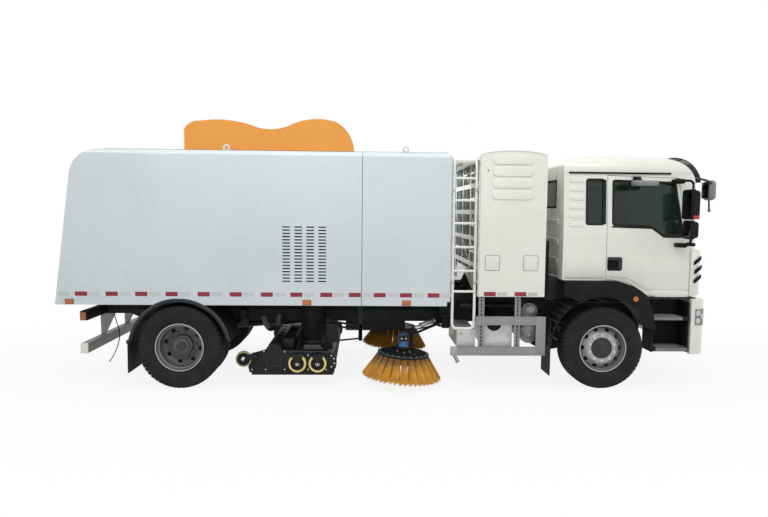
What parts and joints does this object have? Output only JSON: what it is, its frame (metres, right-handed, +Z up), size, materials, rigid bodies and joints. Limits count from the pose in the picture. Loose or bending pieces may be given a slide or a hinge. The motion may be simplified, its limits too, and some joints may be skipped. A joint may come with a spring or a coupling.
{
  "type": "street sweeper truck",
  "caption": "Two-axle street sweeper truck with a tilting cab, tipping hopper with tailgate, side brushes and a suction nozzle between the axles.",
  "frame": {"origin": "on the ground under the middle of the truck's overall length and width", "axes": "+X forward, +Y to the truck's left, +Z up"},
  "size_m": [7.97, 2.9298, 3.2471],
  "materials": {
    "body_white": "glossy",
    "cab_white": "glossy",
    "frame_black": "satin",
    "fairing_orange": "satin",
    "aluminium_bare": "satin",
    "steel_rim": "satin",
    "tyre_rubber": "matte",
    "black_plastic": "matte",
    "hose_rubber": "matte",
    "cab_glass": "clear",
    "visor_smoke": "smoked",
    "seat_fabric": "woven",
    "bristle": "bristle",
    "castor_tread": "satin",
    "hydraulic_steel": "satin",
    "axle_iron": "satin",
    "motor_case": "cast"
  },
  "bodies": {
    "chassis": {"frame_rails": "frame_black", "cross_members": "frame_black", "front_axle": "axle_iron", "rear_axle": "axle_iron", "drive_unit": "motor_case", "front_bumper": "cab_white", "cab_steps": "black_plastic", "mudguards": "black_plastic", "water_tank": "body_white", "battery_cabinet": "cab_white", "ladder": "body_white", "side_guards": "aluminium_bare", "air_tanks": "aluminium_bare", "side_boxes": "aluminium_bare", "rear_bars": "aluminium_bare", "suction_hose": "hose_rubber", "earth_strap": "hose_rubber"},
    "cab": {"cab_shell": "cab_white", "cab_glass": "cab_glass", "seats": "seat_fabric", "dashboard": "black_plastic", "sun_visor": "visor_smoke", "wheel_arches": "black_plastic", "front_mirror": "black_plastic"},
    "hopper_body": {"hopper": "body_white", "roof_fairing": "fairing_orange"},
    "tailgate_body": {"tailgate": "body_white"},
    "tip_barrel": {"tip_cylinder": "frame_black"},
    "tip_rod_body": {"tip_rod": "hydraulic_steel"},
    "tie_rod_body": {"tie_rod": "axle_iron"},
    "nozzle_body": {"nozzle": "frame_black"},
    "drag_arm_body": {"drag_arms": "frame_black"},
    "door_right_body": {"door_right": "cab_white", "door_glass_right": "cab_glass", "mirrors_right": "black_plastic"},
    "knuckle_right_body": {"knuckle_right": "axle_iron"},
    "front_wheel_right": {"front_rim_right": "steel_rim", "front_tyre_right": "tyre_rubber"},
    "rear_wheel_right": {"rear_rims_right": "steel_rim", "rear_tyres_right": "tyre_rubber"},
    "brush_bracket_right_body": {"brush_bracket_right": "frame_black"},
    "brush_arm_right_body": {"brush_arm_right": "frame_black"},
    "side_brush_right_body": {"side_brush_right": "bristle"},
    "castor_rear_right_body": {"castor_rear_right": "castor_tread"},
    "castor_middle_right_body": {"castor_middle_right": "castor_tread"},
    "castor_front_right_body": {"castor_front_right": "castor_tread"},
    "door_left_body": {"door_left": "cab_white", "door_glass_left": "cab_glass", "mirrors_left": "black_plastic"},
    "knuckle_left_body": {"knuckle_left": "axle_iron"},
    "front_wheel_left": {"front_rim_left": "steel_rim", "front_tyre_left": "tyre_rubber"},
    "rear_wheel_left": {"rear_rims_left": "steel_rim", "rear_tyres_left": "tyre_rubber"},
    "brush_bracket_left_body": {"brush_bracket_left": "frame_black"},
    "brush_arm_left_body": {"brush_arm_left": "frame_black"},
    "side_brush_left_body": {"side_brush_left": "bristle"},
    "castor_rear_left_body": {"castor_rear_left": "castor_tread"},
    "castor_middle_left_body": {"castor_middle_left": "castor_tread"},
    "castor_front_left_body": {"castor_front_left": "castor_tread"}
  },
  "joints": [
    {"name": "cab_tilt", "type": "hinge", "parent": "chassis", "child": "cab", "pos_m": [3.78, 0, 0.86], "axis": [0, 1, 0], "range_deg": [0, 50]},
    {"name": "hopper_tip", "type": "hinge", "parent": "chassis", "child": "hopper_body", "pos_m": [-3.75, 0, 1.015], "axis": [0, -1, 0], "range_deg": [0, 45]},
    {"name": "tailgate_swing", "type": "hinge", "parent": "hopper_body", "child": "tailgate_body", "pos_m": [-3.45228, 0, 2.859], "axis": [0, 1, 0], "range_deg": [0, 80]},
    {"name": "tip_barrel_swing", "type": "hinge", "parent": "chassis", "child": "tip_barrel", "pos_m": [-2.95, 0, 0.84], "axis": [0, -1, 0], "range_deg": [0, 57.4]},
    {"name": "tip_rod_slide", "type": "slide", "parent": "tip_barrel", "child": "tip_rod_body", "axis": [0.9933, 0, 0.1159], "range_m": [0, 0.4692]},
    {"name": "nozzle_lift", "type": "slide", "parent": "chassis", "child": "nozzle_body", "axis": [0, 0, 1], "range_m": [-0.165, 0], "deforming": ["suction_hose"]},
    {"name": "drag_arm_swing", "type": "hinge", "parent": "chassis", "child": "drag_arm_body", "pos_m": [-0.4, 0, 0.7], "axis": [0, 1, 0], "range_deg": [-23.5, 0]},
    {"name": "door_right_swing", "type": "hinge", "parent": "cab", "child": "door_right_body", "pos_m": [3.658, -1.106, 1.9], "axis": [0, 0, 1], "range_deg": [0, 65]},
    {"name": "steer_right", "type": "hinge", "parent": "chassis", "child": "knuckle_right_body", "pos_m": [2.55, -0.9, 0.5], "axis": [0, 0, 1], "range_deg": [-35, 35]},
    {"name": "front_wheel_right_spin", "type": "hinge", "parent": "knuckle_right_body", "child": "front_wheel_right", "pos_m": [2.55, -1.107, 0.5], "axis": [0, 1, 0], "continuous": true},
    {"name": "rear_wheel_right_spin", "type": "hinge", "parent": "chassis", "child": "rear_wheel_right", "pos_m": [-2.55, -0.952, 0.5], "axis": [0, 1, 0], "continuous": true},
    {"name": "brush_right_swing", "type": "hinge", "parent": "chassis", "child": "brush_bracket_right_body", "pos_m": [0.7, -0.62, 0.7], "axis": [0, 0, 1], "range_deg": [-15, 10]},
    {"name": "brush_right_lift", "type": "hinge", "parent": "brush_bracket_right_body", "child": "brush_arm_right_body", "pos_m": [0.60612, -0.67733, 0.7], "axis": [-0.5211, 0.8535, 0], "range_deg": [-6, 8]},
    {"name": "brush_right_spin", "type": "hinge", "parent": "brush_arm_right_body", "child": "side_brush_right_body", "pos_m": [0.135, -0.965, 0.37], "axis": [0.0698, 0, 0.9976], "continuous": true},
    {"name": "castor_rear_right_spin", "type": "hinge", "parent": "nozzle_body", "child": "castor_rear_right_body", "pos_m": [-1.806, -1.14, 0.345], "axis": [0, 1, 0], "continuous": true},
    {"name": "castor_middle_right_spin", "type": "hinge", "parent": "nozzle_body", "child": "castor_middle_right_body", "pos_m": [-1.161, -1.14, 0.29], "axis": [0, 1, 0], "continuous": true},
    {"name": "castor_front_right_spin", "type": "hinge", "parent": "nozzle_body", "child": "castor_front_right_body", "pos_m": [-0.916, -1.14, 0.29], "axis": [0, 1, 0], "continuous": true},
    {"name": "door_left_swing", "type": "hinge", "parent": "cab", "child": "door_left_body", "pos_m": [3.658, 1.106, 1.9], "axis": [0, 0, -1], "range_deg": [0, 65]},
    {"name": "steer_left", "type": "hinge", "parent": "chassis", "child": "knuckle_left_body", "pos_m": [2.55, 0.9, 0.5], "axis": [0, 0, 1], "range_deg": [-35, 35]},
    {"name": "front_wheel_left_spin", "type": "hinge", "parent": "knuckle_left_body", "child": "front_wheel_left", "pos_m": [2.55, 1.107, 0.5], "axis": [0, 1, 0], "continuous": true},
    {"name": "rear_wheel_left_spin", "type": "hinge", "parent": "chassis", "child": "rear_wheel_left", "pos_m": [-2.55, 0.952, 0.5], "axis": [0, 1, 0], "continuous": true},
    {"name": "brush_left_swing", "type": "hinge", "parent": "chassis", "child": "brush_bracket_left_body", "pos_m": [0.7, 0.62, 0.7], "axis": [0, 0, -1], "range_deg": [-15, 10]},
    {"name": "brush_left_lift", "type": "hinge", "parent": "brush_bracket_left_body", "child": "brush_arm_left_body", "pos_m": [0.60612, 0.67733, 0.7], "axis": [0.5211, 0.8535, 0], "range_deg": [-6, 8]},
    {"name": "brush_left_spin", "type": "hinge", "parent": "brush_arm_left_body", "child": "side_brush_left_body", "pos_m": [0.135, 0.965, 0.37], "axis": [0.0698, 0, 0.9976], "continuous": true},
    {"name": "castor_rear_left_spin", "type": "hinge", "parent": "nozzle_body", "child": "castor_rear_left_body", "pos_m": [-1.806, 1.14, 0.345], "axis": [0, 1, 0], "continuous": true},
    {"name": "castor_middle_left_spin", "type": "hinge", "parent": "nozzle_body", "child": "castor_middle_left_body", "pos_m": [-1.161, 1.14, 0.29], "axis": [0, 1, 0], "continuous": true},
    {"name": "castor_front_left_spin", "type": "hinge", "parent": "nozzle_body", "child": "castor_front_left_body", "pos_m": [-0.916, 1.14, 0.29], "axis": [0, 1, 0], "continuous": true},
    {"name": "tie_rod_swing", "type": "hinge", "parent": "knuckle_right_body", "child": "tie_rod_body", "pos_m": [2.37, -0.9, 0.37], "axis": [0, 0, 1], "range_deg": [-35, 35]}
  ],
  "couplings": [
    {"joint": "tip_barrel_swing", "follows": "hopper_tip", "ratio": 1.2645},
    {"joint": "tip_rod_slide", "follows": "hopper_tip", "m_per_rad": 0.59103},
    {"joint": "drag_arm_swing", "follows": "nozzle_lift", "rad_per_m": 2.4575},
    {"joint": "steer_left", "follows": "steer_right", "ratio": 1},
    {"joint": "tie_rod_swing", "follows": "steer_right", "ratio": -1}
  ]
}
